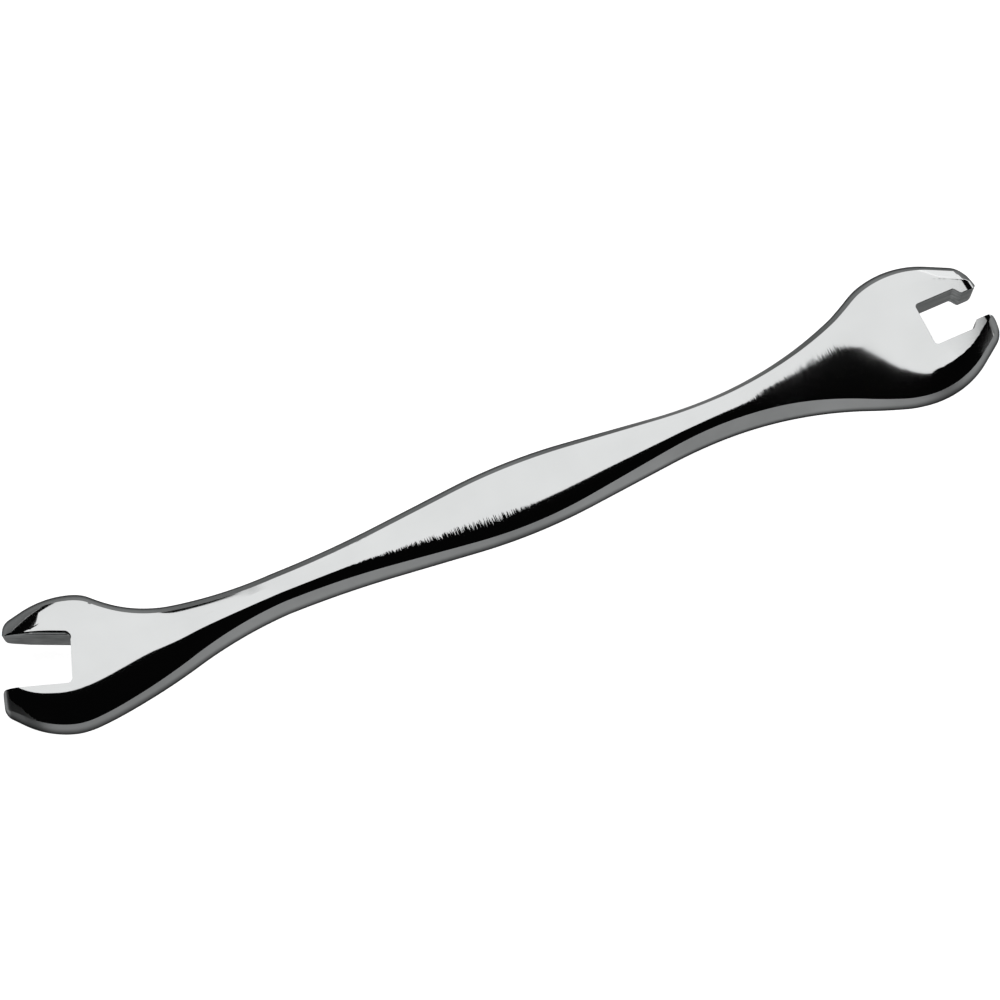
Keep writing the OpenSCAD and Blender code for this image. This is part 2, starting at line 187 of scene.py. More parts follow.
class CaptiveEnd(bpy.types.PropertyGroup):
    """Sizes of the end with the captive jaw."""

    end_at: length("End", "Place of the hook ends", 0.06398)
    neck_at: length("Neck place", "Narrowest place of the neck", 0.026)
    neck_width: length("Neck width", "Width of the neck", 0.0057)
    neck_grip_radius: length("Grip side", "Hollow radius on the grip side of the neck", 0.062)
    neck_head_radius: length("Head side", "Hollow radius on the head side of the neck", 0.051)
    dip: angle("Dip", "Angle that the neck dips before the head turns up", 0)
    head_at: length("Head place", "Widest place of the head", 0.0537)
    head_width: length("Head width", "Width of the head", 0.0184)
    head_thick: length("Head thickness", "Thickness of the head", 0.004)
    bend_at: length("Bend place", "Place of the bend into the head", 0.0478)
    bend_radius: length("Bend radius", "Radius of the bend", 0.060)
    turn: angle("Turn", "Angle of the head to the grip", 5)
    hump_at: length("Neck's thickest place", "Place where the neck is thickest", 0.0275)
    hump_thick: length("Neck thickness", "Thickness of the neck there", 0.00619)
    hump_level: length("Neck level", "Width of the level strip there", 0.0)
    hump_share: number("Neck share", "Share of the face's width added to the level strip there", 0.165)
    hump_power: number("Neck power", "Exponent of the crown's fall there", 1.83)
    hump_bow: number("Neck bow", "Share of the fall that bows over the whole face there", 0.55)
    hump_edge: angle("Neck edge", "Steepest slope across the polished face there", 31)
    hump_band: length("Neck band", "Height of the drafted band there", 0.0026)
    hump_setback: length("Neck setback", "Setback of the drafted band there", 0.0012)
    ramp_from: length("Ramp start", "Place where the thickness starts to change to the head's", 0.0275)
    ramp_to: length("Ramp end", "Place where the head's thickness is reached", 0.0498)
    level_from: length("Level start", "Place where the level face starts to widen", 0.0475)
    level_to: length("Level end", "Place where the level face is widest", 0.0568)
    band_from: length("Band start", "Place where the band starts to change to the head's", 0.033)
    band_to: length("Band end", "Place where the head's band is reached", 0.0535)
    shoulder_radius: length("Shoulder", "Outline radius of the shoulder", 0.013)
    round_radius: length("Head round", "Outline radius round the hooks", 0.0123)
    head_level: length("Level face", "Width of the level face", 0.0075)
    head_share: number("Head share", "Share of the face's width added to the level face", 0.3)
    head_power: number("Head power", "Exponent of the crown's fall on the head", 1.3)
    head_bow: number("Head bow", "Share of the fall that bows over the head's whole face", 0.0)
    head_edge: angle("Head edge", "Steepest slope across the head's polished face", 31)
    head_band: length("Head band", "Height of the drafted band at the head", 0.0010)
    head_setback: length("Head setback", "Setback of the drafted band at the head", 0.00095)
    slope_width: length("Slope width", "Least width of the sloping side of the crown", 0.0017)
    root_at: length("Pocket root", "Place of the pocket's back wall", 0.0554)
    root_radius: length("Root radius", "Radius of the pocket's root corners", 0.0004)
    jaw_width: length("Pocket width", "Width of the pocket", 0.0058)
    mouth_width: length("Mouth width", "Width of the mouth between the lips", 0.0039)
    lip_from: length("Lip start", "Depth where the lips' slopes begin", 0.0053)
    lip_to: length("Lip end", "Depth where the mouth width is reached", 0.0062)
    flare: angle("Flare", "Angle that the back wall opens outwards", 0)
    skew: angle("Skew", "Angle of the pocket to the head", -3.5)
    mouth_radius: length("Mouth radius", "Radius of the lips' outer corners", 0.001)
    back_edge: length("Back edge", "Radius of the round on the back wall's edge", 0.0001)
    front_edge: length("Front edge", "Radius of the round on the front and root walls' edges", 0.00001)
    nose: length("Nose", "Length over which the faces roll down to the end", 0.0014)
    corner: length("Corner", "Plan radius of the outer corners", 0.0014)
    seam_at: length("Seam", "Place where the head's mesh meets the bar's", 0.0495)


class StudioSettings(bpy.types.PropertyGroup):
    """Camera, lamps and floor."""

    azimuth: angle("Azimuth", "Direction of the camera round the wrench", -22.95)
    elevation: angle("Elevation", "Height of the camera over the horizon", 71)
    distance: length("Distance", "Distance from the camera to what it looks at", 0.34086)
    lens: number("Lens", "Focal length in millimetres", 100.0)
    aim_x: length("Aim x", "Point that the camera looks at, from the middle of the grip", -0.00221)
    aim_y: length("Aim y", "Point that the camera looks at, from the middle of the grip", 0.00072)
    panel_height: length("Panel height", "Height of the overhead panel", 1.5)
    panel_right: length("Panel right", "Right edge of the overhead panel, seen from the camera", 0.34)
    panel_left: length("Panel left", "Left edge of the overhead panel, seen from the camera", -0.95)
    panel_front: length("Panel front", "Front edge of the overhead panel, seen from the camera", -0.15)
    panel_back: length("Panel back", "Back edge of the overhead panel, seen from the camera", 2.4)
    wing_right: length("Wing right", "Right edge of the overhead panel's wing, seen from the camera", 0.8)
    wing_front: length("Wing front", "Front edge of the overhead panel's wing, seen from the camera", 1.1)
    panel_light: number("Panel light", "Radiance of the overhead and back panels", 1.15)
    wall_right: length("Wall right", "Right edge of the back panel, seen from the camera", 4.0)
    wall_left: length("Wall left", "Left edge of the back panel, seen from the camera", -1.15)
    wall_low: length("Wall foot", "Lower edge of the back panel", 0.316)
    foot_left: length("Foot left", "Left edge of the panel under the back one, seen from the camera", -0.5)
    card_front: length("Card distance", "Distance of the low front card", 2.5)
    card_high: length("Card height", "Upper edge of the low front card", 1.3)
    card_left: length("Card left", "Left edge of the low front card, seen from the camera", -1.2)
    card_right: length("Card right", "Distance of the low right card, right edge of the front card", 2.5)
    card_back: length("Card back", "Back edge of the low right card, seen from the camera", 1.0)
    side_high: length("Side card height", "Upper edge of the low right card", 0.9)
    card_light: number("Card light", "Radiance of the low cards", 1.2)
    floor_tint: tint("Floor", "Colour of the floor", (0.8, 0.8, 0.8))
    floor_rough: number("Floor roughness", "Roughness of the floor", 0.8)
    horizon_tint: tint("Horizon", "Colour of the surroundings at the horizon", (0.5, 0.5, 0.5))
    dark_tint: tint("Darkness", "Colour of the surroundings above the horizon", (0.002, 0.002, 0.002))
    horizon_high: number("Horizon height", "Height at which the surroundings have turned dark", 0.02)


class FinishSettings(bpy.types.PropertyGroup):
    """Colours and gloss of the forging's three finishes; the band's and jaw walls' dark tints and the
    darkening at the parting line are painted shade.
    """

    chrome_dark: tint("Chrome, dark", "Darkest tint of the polished chrome", (0.61, 0.62, 0.62))
    chrome_pale: tint("Chrome, pale", "Palest tint of the polished chrome", (0.64, 0.65, 0.65))
    chrome_rough: number("Chrome roughness", "Roughness of the polished chrome", 0.06)
    chrome_rim: number("Chrome rim", "Tint of the chrome seen at a slant", 1.0)
    chrome_tilt: number("Chrome streaks", "Tilt of the polishing streaks in the chrome", 0.2)
    # Share of painted shade at the parting line; 1 leaves the chrome unshaded.
    chrome_line: number("Chrome parting shade", "Share of the tint left at the parting line", 1.0)
    # The band's dark tints are painted shade for the shadowed floor that the steep sides reflect, on a
    # satin roughness.
    band_dark: tint("Band, dark", "Darkest tint of the satin band", (0.175, 0.18, 0.18))
    band_pale: tint("Band, pale", "Palest tint of the satin band", (0.205, 0.21, 0.21))
    band_rough: number("Band roughness", "Roughness of the satin band", 0.3)
    band_rim: number("Band rim", "Tint of the band seen at a slant", 0.3)
    band_tilt: number("Band streaks", "Tilt of the polishing streaks in the band", 0.0)
    # Painted shade at the parting line: the band keeps this share of its tint there, standing in for the
    # shadowed floor it reflects.
    band_line: number("Band parting shade", "Share of the tint left at the parting line", 0.12)
    # The jaw walls' dark tints are painted shade for the floor between the prongs, shadowed by them, that
    # the walls reflect.
    jaw_dark: tint("Jaw, dark", "Darkest tint of the milled jaw walls", (0.10, 0.105, 0.105))
    jaw_pale: tint("Jaw, pale", "Palest tint of the milled jaw walls", (0.22, 0.225, 0.225))
    jaw_rough: number("Jaw roughness", "Roughness of the milled jaw walls", 0.3)
    jaw_rim: number("Jaw rim", "Tint of the jaw walls seen at a slant", 0.4)
    jaw_tilt: number("Jaw streaks", "Tilt of the polishing streaks in the jaw walls", 0.01)
    # Share of painted shade at the parting line; 1 leaves the jaw walls unshaded.
    jaw_line: number("Jaw parting shade", "Share of the tint left at the parting line", 1.0)


class WrenchSettings(bpy.types.PropertyGroup):
    """Everything that the wrench and its studio are built from."""

    bar: PointerProperty(type=BarSizes)
    open_end: PointerProperty(type=OpenEnd)
    captive_end: PointerProperty(type=CaptiveEnd)
    studio: PointerProperty(type=StudioSettings)
    finish: PointerProperty(type=FinishSettings)


def ease(t):
    """Smooth step from 0 to 1."""
    u = min(1.0, max(0.0, t))
    return u * u * (3.0 - 2.0 * u)


def ramp(t):
    """Even rise from 0 to 1 with rounded ends."""
    u = min(1.0, max(0.0, t))
    if u > 0.5:
        return 1.0 - ramp(1.0 - u)
    if u < RAMP_ROUND:
        return u * u / (2.0 * RAMP_ROUND * (1.0 - RAMP_ROUND))
    return (u - RAMP_ROUND / 2.0) / (1.0 - RAMP_ROUND)


def blend(d, d0, v0, d1, v1, curve=ease):
    """Value that changes along a curve from v0 at d0 to v1 at d1."""
    return v0 + (v1 - v0) * curve((d - d0) / (d1 - d0))


def soft_min(a, b):
    """Smaller of two positive values with a smooth change between them."""
    return a * b / (a**SOFT_POWER + b**SOFT_POWER) ** (1.0 / SOFT_POWER)


def corner_loss(left, radius):
    """Half width lost at a distance from an end whose corner is rounded."""
    t = min(1.0, max(0.0, 1.0 - left / radius))
    return radius * (1.0 - math.sqrt(1.0 - t * t))


def arc_rise(d, run, rise, hollow, crest):
    """Rise at d from a waist to a crest: hollow arc, tangent line, round arc."""
    room = (run * run + rise * rise) / (2.0 * rise)
    fit = min(1.0, ARC_ROOM * room / (hollow + crest))
    ra = fit * hollow
    rb = fit * crest
    both = ra + rb
    line = math.sqrt(max(0.0, run * run + (rise - both) ** 2 - both * both))
    slope = math.atan2(both, line) + math.atan2(rise - both, run)
    d1 = ra * math.sin(slope)
    d2 = d1 + line * math.cos(slope)
    if d <= d1:
        return ra - math.sqrt(ra * ra - d * d)
    if d <= d2:
        return ra * (1.0 - math.cos(slope)) + (d - d1) * math.tan(slope)
    return rise - rb + math.sqrt(max(0.0, rb * rb - (run - d) ** 2))


def round_fall(d, radius, limit):
    """Fall at d from a crest along a round outline that runs on straight past the limit."""
    d1 = radius * math.sin(limit)
    if d <= d1:
        return radius - math.sqrt(radius * radius - d * d)
    return radius * (1.0 - math.cos(limit)) + (d - d1) * math.tan(limit)


class Forging:
    """Shape of the forging: s runs along the centre line, v to the back and z up from the parting plane."""

    def __init__(self, settings):
        self.bar = settings.bar
        self.ends = {-1: settings.open_end, 1: settings.captive_end}
        self.origin = (GRIP_LOW + GRIP_HIGH) / 2

    def end(self, s):
        """Sizes of the end that s lies in."""
        return self.ends[-1 if s < 0 else 1]

    def half_width(self, s):
        """Distance from the centre line to the land."""
        return self.outline(s) - self.bar.skin

    def outline(self, s):
        """Half width of the whole outline."""
        end = self.end(s)
        d = abs(s)
        if d > end.head_at:
            fall = round_fall(d - end.head_at, end.round_radius, self.bar.round_limit)
            return end.head_width / 2 - fall - corner_loss(end.end_at - d, end.corner)
        neck = end.neck_width / 2
        if d > end.neck_at:
            run = end.head_at - end.neck_at
            rise = end.head_width / 2 - neck
            return neck + arc_rise(d - end.neck_at, run, rise, end.neck_head_radius, end.shoulder_radius)
        run = end.neck_at
        rise = self.bar.grip_width / 2 - neck
        return neck + arc_rise(run - d, run, rise, end.neck_grip_radius, self.bar.grip_radius)

    def height_share(self, s):
        """Share of the full height where a prong or hook rolls down to its end."""
        end = self.end(s)
        t = min(1.0, max(0.0, 1.0 - (end.end_at - abs(s)) / end.nose))
        return self.bar.nose_share + (1.0 - self.bar.nose_share) * math.sqrt(1.0 - t * t)

    def profile(self, s, key, start, stop, curve=ease):
        """Value of a size that eases from the grip to the neck's thickest place and on to the head."""
        end = self.end(s)
        d = abs(s)
        hump = getattr(end, "hump_" + key)
        if d < end.hump_at:
            return blend(d, 0.0, getattr(self.bar, "grip_" + key), end.hump_at, hump)
        return blend(d, getattr(end, start), hump, getattr(end, stop), getattr(end, "head_" + key), curve)

    def top(self, s):
        """Height of the level face."""
        return self.profile(s, "thick", "ramp_from", "ramp_to", ramp) / 2 * self.height_share(s)

    def crease(self, s):
        """Height of the crease over the drafted band."""
        return self.profile(s, "band", "band_from", "band_to") * self.height_share(s)

    def inner(self, s):
        """Distance from the centre line to the crease."""
        setback = self.profile(s, "setback", "band_from", "band_to")
        return self.half_width(s) - setback * self.height_share(s)

    def level(self, s):
        """Half width of the level face."""
        inner = self.inner(s)
        half = self.profile(s, "level", "level_from", "level_to") / 2
        half += self.profile(s, "share", "level_from", "level_to") * inner
        return soft_min(half, max(0.5 * inner, inner - self.end(s).slope_width))

    def crown(self, s, v):
        """Height of the polished face."""
        top = self.top(s)
        fall = top - self.crease(s)
        inner = self.inner(s)
        level = self.level(s)
        bow = self.profile(s, "bow", "level_from", "level_to")
        edge = math.tan(self.profile(s, "edge", "ramp_from", "ramp_to"))
        steepest = (edge / fall - 2.0 * bow / inner) * (inner - level) / (1.0 - bow)
        power = max(1.0, min(steepest, self.profile(s, "power", "level_from", "level_to")))
        t = min(1.0, max(0.0, (abs(v) - level) / (inner - level)))
        return top - fall * ((1.0 - bow) * t**power + bow * (v / inner) ** 2)

    def spine(self, s):
        """Point and heading of the centre line."""
        end = self.end(s)
        d = abs(s)
        swing = end.dip + end.turn
        neck = end.neck_at
        bend = end.bend_radius
        start = end.bend_at - bend * math.tan(swing / 2)
        x = min(d, neck)
        y = 0.0
        heading = 0.0
        if d > neck:
            heading = -end.dip
            step = min(d, start) - neck
            x += step * math.cos(heading)
            y += step * math.sin(heading)
        if d > start:
            part = min(swing, (d - start) / bend)
            x += bend * (math.sin(heading + part) - math.sin(heading))
            y += bend * (math.cos(heading) - math.cos(heading + part))
            heading += part
            step = d - start - bend * part
            x += step * math.cos(heading)
            y += step * math.sin(heading)
        if s < 0:
            return -x, y, -heading
        return x, y, heading

    def place(self, s, v, z):
        """Point in the scene."""
        x, y, heading = self.spine(s)
        return self.origin + Vector((x - v * math.sin(heading), y + v * math.cos(heading), z))

    def jaw_half(self, end, side, x):
        """Distance from the jaw's axis to its wall, at depth x from the root."""
        half = blend(x, end.lip_from, end.jaw_width, end.lip_to, end.mouth_width) / 2
        if side > 0:
            half += max(0.0, x - end.root_radius) * math.tan(end.flare)
        return half

    def jaw_point(self, way, x, y):
        """Station and side distance of a point in a jaw's own plan."""
        end = self.ends[way]
        d = end.root_at + x * math.cos(end.skew) - y * math.sin(end.skew)
        return way * d, x * math.sin(end.skew) + y * math.cos(end.skew)

    def wall(self, way, side, d):
        """Side distance of a jaw's wall at station d."""
        end = self.ends[way]
        y = side * end.jaw_width / 2
        for _ in range(WALL_TRIES):
            x = (d - end.root_at + y * math.sin(end.skew)) / math.cos(end.skew)
            loss = corner_loss(end.end_at - d, end.mouth_radius)
            y = side * (self.jaw_half(end, side, x) + loss)
        return x * math.sin(end.skew) + y * math.cos(end.skew)

    def jaw_stations(self, way, side):
        """Stations of one prong or hook, from the root corner to its end."""
        end = self.ends[way]
        first = abs(self.jaw_point(way, end.root_radius, side * end.jaw_width / 2)[0])
        last = end.end_at - end.nose
        rows = math.ceil((last - first) / self.bar.jaw_pitch)
        flat = [first + (last - first) * i / rows for i in range(rows)]
        turns = [math.pi / 2 * i / NOSE_ROWS for i in range(NOSE_ROWS + 1)]
        return flat + [last + end.nose * math.sin(turn) for turn in turns]


WALL_STEPS = 3
ROUND_STEPS = 6
FACE_STEPS = 32
FACE_HOLD = 0.003
NOSE_ROWS = 18
EDGE_LEAST = 0.1
SIDE_ROWS = 14
CORNER_ROWS = 16
ROOT_ROWS = 24
ROOT_SHARE = 0.4
BAND_STEPS = 4


def face_row(shape, inside, outward, target, radius):
    """Points from a jaw's wall over its rounded edge and across the face to the target."""
    s0, v0 = inside
    ds, dv = outward
    row = []
    for i in range(WALL_STEPS):
        z = (shape.crown(s0, v0) - radius) * i / WALL_STEPS
        row.append(shape.place(s0, v0, z))
    for i in range(ROUND_STEPS):
        turn = math.pi / 2 * i / ROUND_STEPS
        off = radius * (1.0 - math.cos(turn))
        s = s0 + ds * off
        v = v0 + dv * off
        row.append(shape.place(s, v, shape.crown(s, v) - radius * (1.0 - math.sin(turn))))
    s1 = s0 + ds * radius
    v1 = v0 + dv * radius
    for i in range(FACE_STEPS + 1):
        t = FACE_HOLD if i == 1 else i / FACE_STEPS
        s = s1 + (target[0] - s1) * t
        v = v1 + (target[1] - v1) * t
        row.append(shape.place(s, v, shape.crown(s, v)))
    return row


def seam_shares():
    """Shares of the face's half width at which the bar's mesh lines run."""
    outer = [-1.0 + (1.0 - ROOT_SHARE) * i / CORNER_ROWS for i in range(CORNER_ROWS)]
    middle = [-ROOT_SHARE + 2.0 * ROOT_SHARE * i / ROOT_ROWS for i in range(ROOT_ROWS + 1)]
    return outer + middle + [-share for share in reversed(outer)]


def jaw_side_rows(shape, way, side):
    """Rows across one prong or hook, from its end to the jaw's root, then round the root's corner."""
    end = shape.ends[way]
    edge = end.back_edge if side > 0 else end.front_edge
    rows = []
    for d in reversed(shape.jaw_stations(way, side)):
        radius = edge * min(1.0, EDGE_LEAST + (end.end_at - d) / end.nose)
        s = way * d
        here = (s, shape.wall(way, side, d))
        target = (s, side * shape.inner(s))
        rows.append(face_row(shape, here, (0.0, side), target, radius))
    first = shape.jaw_stations(way, side)[0]
    steps = SIDE_ROWS + CORNER_ROWS
    seam = way * end.seam_at
    for i in range(1, steps):
        turn = math.pi / 2 * i / steps
        r = end.root_radius
        x = r * (1.0 - math.sin(turn))
        y = side * (end.jaw_width / 2 - r * (1.0 - math.cos(turn)))
        here = shape.jaw_point(way, x, y)
        ahead = shape.jaw_point(way, x - math.sin(turn), y + side * math.cos(turn))
        if i <= SIDE_ROWS:
            s = way * (first + (end.seam_at - first) * i / SIDE_ROWS)
            target = (s, side * shape.inner(s))
        else:
            share = 1.0 - (1.0 - ROOT_SHARE) * (i - SIDE_ROWS) / CORNER_ROWS
            target = (seam, side * share * shape.inner(seam))
        radius = edge + (end.front_edge - edge) * i / steps
        rows.append(face_row(shape, here, (ahead[0] - here[0], ahead[1] - here[1]), target, radius))
    return rows


def head_rows(shape, way):
    """Rows of a whole head, from the front end round the jaw's root to the back end."""
    end = shape.ends[way]
    seam = way * end.seam_at
    half = end.jaw_width / 2 - end.root_radius
    rows = jaw_side_rows(shape, way, -1)
    for i in range(ROOT_ROWS + 1):
        t = 2.0 * i / ROOT_ROWS - 1.0
        here = shape.jaw_point(way, 0.0, t * half)
        ahead = shape.jaw_point(way, -1.0, t * half)
        target = (seam, t * ROOT_SHARE * shape.inner(seam))
        rows.append(face_row(shape, here, (ahead[0] - here[0], ahead[1] - here[1]), target, end.front_edge))
    return rows + list(reversed(jaw_side_rows(shape, way, 1)))


def bar_stations(shape):
    """Stations of the bar between the two heads' seams."""
    first = -shape.ends[-1].seam_at
    last = shape.ends[1].seam_at
    rows = math.ceil((last - first) / shape.bar.ring_pitch)
    return [first + (last - first) * i / rows for i in range(rows + 1)]


def bar_rows(shape):
    """Rows across the bar's polished face."""
    shares = seam_shares()
    rows = []
    for s in bar_stations(shape):
        inner = shape.inner(s)
        rows.append([shape.place(s, share * inner, shape.crown(s, share * inner)) for share in shares])
    return rows


def band_rows(shape, side):
    """Rows down the drafted band and its land, along one whole side."""
    stations = []
    for way in (-1, 1):
        end = shape.ends[way]
        jaw = shape.jaw_stations(way, side)
        step = (jaw[0] - end.seam_at) / SIDE_ROWS
        part = [way * (end.seam_at + step * i) for i in range(1, SIDE_ROWS)] + [way * d for d in jaw]
        stations.append(part)
    rows = []
    for s in list(reversed(stations[0])) + bar_stations(shape) + stations[1]:
        wide = shape.half_width(s)
        inner = shape.inner(s)
        crease = shape.crease(s)
        land = shape.bar.land / 2
        row = []
        for i in range(BAND_STEPS + 1):
            t = i / BAND_STEPS
            row.append(shape.place(s, side * (inner + (wide - inner) * t), crease + (land - crease) * t))
        row.append(shape.place(s, side * wide, 0.0))
        rows.append(row)
    return rows


def weave(bm, rows, material):
    """Grid of faces through the rows, all with one material."""
    tall = len(rows)
    wide = len(rows[0])
    made = bmesh.ops.create_grid(bm, x_segments=wide - 1, y_segments=tall - 1, size=0.5)
    for vert in made["verts"]:
        column = round((vert.co.x + 0.5) * (wide - 1))
        line = round((vert.co.y + 0.5) * (tall - 1))
        vert.co = rows[line][column]
    faces = {face for vert in made["verts"] for face in vert.link_faces}
    for face in faces:
        face.material_index = material


POLISHED, SHADED_BAND, JAW = range(3)
# Polished faces steeper than these limits, which change with the way a face leans, take the dark band
# metal: painted shade for the shadowed floor they reflect.
STEEP = 0.8
NOSE_STEEP = 0.86
NOSE_LEAN = 0.35
BACK_STEEP = 0.815
BACK_LEAN = 0.2
SHARP = math.radians(32)


def forging_mesh(settings):
    """Closed skin of the whole forging."""
    shape = Forging(settings)
    bm = bmesh.new()
    for way in (-1, 1):
        rows = head_rows(shape, way)
        weave(bm, [row[: WALL_STEPS + 1] for row in rows], JAW)
        weave(bm, [row[WALL_STEPS:] for row in rows], POLISHED)
    weave(bm, bar_rows(shape), POLISHED)
    for side in (-1, 1):
        weave(bm, band_rows(shape, side), SHADED_BAND)
    bmesh.ops.remove_doubles(bm, verts=bm.verts, dist=MERGE)
    middle = Matrix.Translation(-shape.origin)
    bmesh.ops.mirror(
        bm, geom=bm.verts[:] + bm.edges[:] + bm.faces[:], matrix=middle, merge_dist=MERGE, axis="Z"
    )
    bmesh.ops.remove_doubles(bm, verts=bm.verts, dist=MERGE)
    rims = [edge for edge in bm.edges if len(edge.link_faces) == 1]
    ends = bmesh.ops.holes_fill(bm, edges=rims, sides=0)
    for face in ends["faces"]:
        face.material_index = SHADED_BAND
    bmesh.ops.recalc_face_normals(bm, faces=bm.faces)
    for edge in bm.edges:
        kinds = {face.material_index for face in edge.link_faces}
        edge.smooth = kinds != {POLISHED, SHADED_BAND} and edge.calc_face_angle(0.0) < SHARP
    for face in bm.faces:
        face.smooth = True
        # Steep polished faces are given the band's dark metal as painted shade.
        limit = BACK_STEEP if face.normal.y > BACK_LEAN else STEEP
        if face.normal.x > NOSE_LEAN:
            limit = NOSE_STEEP
        if face.material_index == POLISHED and abs(face.normal.z) < limit:
            face.material_index = SHADED_BAND
    mesh = bpy.data.meshes.new(PIECE_NAME)
    bm.to_mesh(mesh)
    bm.free()
    return mesh


def add_node(tree, kind, **settings):
    """New node with its settings."""
    node = tree.nodes.new(kind)
    for key, value in settings.items():
        setattr(node, key, value)
    return node


STREAK_SCALE = (15000.0, 250.0, 250.0)
ZONE_REACH = 0.07
STREAK_ZONES = (
    (-0.028, 0.0),
    (-0.019, 0.32),
    (-0.003, 0.32),
    (0.004, 0.02),
    (0.026, 0.02),
    (0.031, 0.14),
    (0.045, 0.14),
    (0.048, 0.0),
)


def streak_group():
    """Node group that tilts the normal along fine polishing streaks across the bar."""
    tree = bpy.data.node_groups.new("polish_streaks", "ShaderNodeTree")
    tree.interface.new_socket("Tilt", in_out="INPUT", socket_type="NodeSocketFloat")
    tree.interface.new_socket("Normal", in_out="OUTPUT", socket_type="NodeSocketVector")
    given = add_node(tree, "NodeGroupInput")
    result = add_node(tree, "NodeGroupOutput")
    where = add_node(tree, "ShaderNodeTexCoord")
    mapping = add_node(tree, "ShaderNodeMapping")
    mapping.inputs["Scale"].default_value = STREAK_SCALE
    noise = add_node(tree, "ShaderNodeTexNoise")
    noise.inputs["Scale"].default_value = 1.0
    noise.inputs["Detail"].default_value = 0.0
    spread = add_node(tree, "ShaderNodeMapRange")
    spread.inputs["From Min"].default_value = 0.25
    spread.inputs["From Max"].default_value = 0.75
    spread.inputs["To Min"].default_value = -1.0
    spread.inputs["To Max"].default_value = 1.0
    tilt = add_node(tree, "ShaderNodeMath", operation="MULTIPLY")
    offset = add_node(tree, "ShaderNodeCombineXYZ")
    surface = add_node(tree, "ShaderNodeNewGeometry")
    total = add_node(tree, "ShaderNodeVectorMath", operation="ADD")
    unit = add_node(tree, "ShaderNodeVectorMath", operation="NORMALIZE")
    tree.links.new(where.outputs["Object"], mapping.inputs["Vector"])
    tree.links.new(mapping.outputs["Vector"], noise.inputs["Vector"])
    tree.links.new(noise.outputs["Fac"], spread.inputs["Value"])
    split = add_node(tree, "ShaderNodeSeparateXYZ")
    reach = add_node(tree, "ShaderNodeMapRange")
    reach.inputs["From Min"].default_value = -ZONE_REACH
    reach.inputs["From Max"].default_value = ZONE_REACH
    zones = add_node(tree, "ShaderNodeValToRGB")
    for i, (place, share) in enumerate(STREAK_ZONES):
        stop = zones.color_ramp.elements[i] if i < 2 else zones.color_ramp.elements.new(1.0)
        stop.position = 0.5 + place / (2 * ZONE_REACH)
        stop.color = (share, share, share, 1.0)
    zoned = add_node(tree, "ShaderNodeMath", operation="MULTIPLY")
    tree.links.new(where.outputs["Object"], split.inputs[0])
    tree.links.new(split.outputs["X"], reach.inputs["Value"])
    tree.links.new(reach.outputs["Result"], zones.inputs[0])
    tree.links.new(spread.outputs["Result"], zoned.inputs[0])
    tree.links.new(zones.outputs["Color"], zoned.inputs[1])
    tree.links.new(zoned.outputs[0], tilt.inputs[0])
    tree.links.new(given.outputs["Tilt"], tilt.inputs[1])
    tree.links.new(tilt.outputs[0], offset.inputs["Y"])
    tree.links.new(surface.outputs["Normal"], total.inputs[0])
    tree.links.new(offset.outputs[0], total.inputs[1])
    tree.links.new(total.outputs[0], unit.inputs[0])
    tree.links.new(unit.outputs[0], result.inputs["Normal"])


MIDDLE = (CAD_BOX[0][2] + CAD_BOX[1][2]) / 2
# Painted shade: the tint darkens within these distances of the parting plane, standing in for the shadowed
# floor reflected low on the sides.
PARTING_SHADE_NEAR = 0.00005
PARTING_SHADE_FAR = 0.00072
CLOUD_SCALE = (160.0, 160.0, 160.0)
MILLING_SCALE = (300.0, 900.0, 2600.0)


